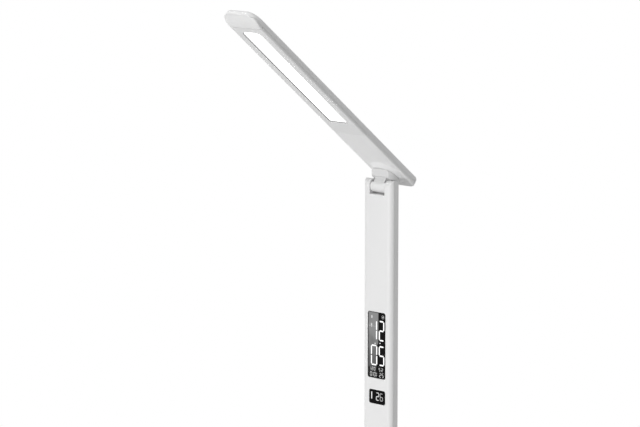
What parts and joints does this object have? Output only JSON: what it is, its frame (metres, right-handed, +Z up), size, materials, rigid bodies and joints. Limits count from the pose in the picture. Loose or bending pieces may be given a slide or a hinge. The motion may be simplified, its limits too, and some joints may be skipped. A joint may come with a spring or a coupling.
{
  "type": "led desk lamp",
  "caption": "Folding white desk lamp: flat lit head on a tilting, swivelling neck, slim post with two displays and rear buttons, and a weighted base.",
  "frame": {"origin": "middle of the base's underside, on the anti-slip pad, at desk level", "axes": "+Z up; -Y the way the lamp faces, towards which the head reaches out; +X to the right of someone in front of it"},
  "size_m": [0.1, 0.2328, 0.5116],
  "materials": {
    "shell": "smooth white moulded plastic with a soft satin sheen",
    "neck": "smooth white moulded plastic, satin",
    "diffuser": "translucent opal white plastic, lit from behind",
    "screen": "clear window over a near-black display, polished",
    "lcd": "dark liquid crystal glass",
    "board": "green solder-masked circuit board",
    "steel": "bright zinc-plated or bare steel",
    "rubber": "dark matt foam rubber",
    "inlet": "black moulded plastic",
    "touch": "gloss white inlay with faint grey marks"
  },
  "bodies": {
    "base": {"base_top_shell": "shell", "base_bottom_plate": "shell", "anti_slip_pad": "rubber", "base_weight": "steel", "touch_board": "board", "touch_panel": "touch", "power_inlet": "inlet", "hinge_stand": "shell", "fold_washer_left": "steel", "fold_washer_right": "steel", "base_screw_1": "steel", "base_screw_2": "steel", "base_screw_3": "steel", "base_screw_4": "steel", "stand_screw_1": "steel", "stand_screw_2": "steel"},
    "post": {"post_front_shell": "shell", "post_rear_shell": "shell", "fold_hinge_pin": "steel", "head_hinge_pin": "steel", "main_display_window": "screen", "small_display_window": "screen", "main_lcd": "lcd", "small_lcd": "lcd", "display_board": "board", "clock_cell": "steel", "post_screw_1": "steel", "post_screw_2": "steel", "post_screw_3": "steel", "post_screw_4": "steel"},
    "neck": {"swivel_neck": "neck", "swivel_washer": "steel", "swivel_screw": "steel", "head_washer_left": "steel", "head_washer_right": "steel"},
    "head": {"head_top_shell": "shell", "head_rear_cover": "shell", "head_nose_cap": "shell", "lamp_bezel": "shell", "diffuser": "diffuser", "led_board": "board", "led_board_screw_1": "steel", "led_board_screw_2": "steel"},
    "set_button": {"set_button": "shell"},
    "up_button": {"up_button": "shell"},
    "down_button": {"down_button": "shell"}
  },
  "joints": [
    {"name": "post_fold", "type": "hinge", "parent": "base", "child": "post", "pos_m": [0, 0.058, 0.043], "axis": [1, 0, 0], "range_deg": [0, 90]},
    {"name": "head_tilt", "type": "hinge", "parent": "post", "child": "neck", "pos_m": [0, 0.058, 0.328], "axis": [1, 0, 0], "range_deg": [-51.8, 128.2]},
    {"name": "head_swivel", "type": "hinge", "parent": "neck", "child": "head", "pos_m": [0, 0.058, 0.328], "axis": [0, 0.6184, 0.7859], "range_deg": [-90, 90]},
    {"name": "set_press", "type": "slide", "parent": "post", "child": "set_button", "axis": [0, -1, 0], "range_m": [0, 0.0005], "stiffness_N_per_m": 800},
    {"name": "up_press", "type": "slide", "parent": "post", "child": "up_button", "axis": [0, -1, 0], "range_m": [0, 0.0005], "stiffness_N_per_m": 800},
    {"name": "down_press", "type": "slide", "parent": "post", "child": "down_button", "axis": [0, -1, 0], "range_m": [0, 0.0005], "stiffness_N_per_m": 800}
  ]
}
